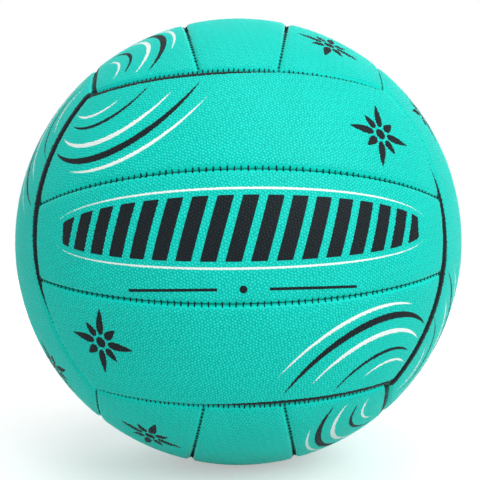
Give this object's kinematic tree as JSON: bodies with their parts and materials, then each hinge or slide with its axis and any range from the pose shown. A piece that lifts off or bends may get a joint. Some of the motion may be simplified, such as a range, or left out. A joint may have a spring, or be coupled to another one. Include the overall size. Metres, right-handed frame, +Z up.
{
  "type": "netball",
  "caption": "Size 5 netball: stitched rubber panels with a pimpled grip over cloth linings and a bladder, with a needle valve.",
  "frame": {"origin": "centre of the ball", "axes": "+Z up, -Y the front with the strips that run across, +Y out of the valve"},
  "size_m": [0.2228, 0.2227, 0.2228],
  "materials": {
    "cover": "satin, pimpled, printed in black and white",
    "lining": "woven, rubberised",
    "thread": "waxed polyester",
    "bladder": "satin",
    "valve": "satin",
    "plug": "satin"
  },
  "bodies": {
    "root": {"panel_front_lower": "cover", "panel_front_middle": "cover", "panel_front_upper": "cover", "panel_back_lower": "cover", "panel_back_middle": "cover", "panel_back_upper": "cover", "panel_top_left": "cover", "panel_top_middle": "cover", "panel_top_right": "cover", "panel_bottom_left": "cover", "panel_bottom_middle": "cover", "panel_bottom_right": "cover", "panel_right_back": "cover", "panel_right_middle": "cover", "panel_right_front": "cover", "panel_left_back": "cover", "panel_left_middle": "cover", "panel_left_front": "cover", "lining_front_lower": "lining", "lining_front_middle": "lining", "lining_front_upper": "lining", "lining_back_lower": "lining", "lining_back_middle": "lining", "lining_back_upper": "lining", "lining_top_left": "lining", "lining_top_middle": "lining", "lining_top_right": "lining", "lining_bottom_left": "lining", "lining_bottom_middle": "lining", "lining_bottom_right": "lining", "lining_right_back": "lining", "lining_right_middle": "lining", "lining_right_front": "lining", "lining_left_back": "lining", "lining_left_middle": "lining", "lining_left_front": "lining", "stitching_front": "thread", "stitching_back": "thread", "stitching_top": "thread", "stitching_bottom": "thread", "stitching_right": "thread", "stitching_left": "thread", "stitching_front_bottom": "thread", "stitching_front_top": "thread", "stitching_back_bottom": "thread", "stitching_back_top": "thread", "stitching_top_left": "thread", "stitching_top_right": "thread", "stitching_bottom_left": "thread", "stitching_bottom_right": "thread", "stitching_right_back": "thread", "stitching_right_front": "thread", "stitching_left_back": "thread", "stitching_left_front": "thread", "bladder": "bladder", "valve_patch": "lining", "valve_stem": "valve", "valve_plug": "plug"}
  },
  "joints": []
}
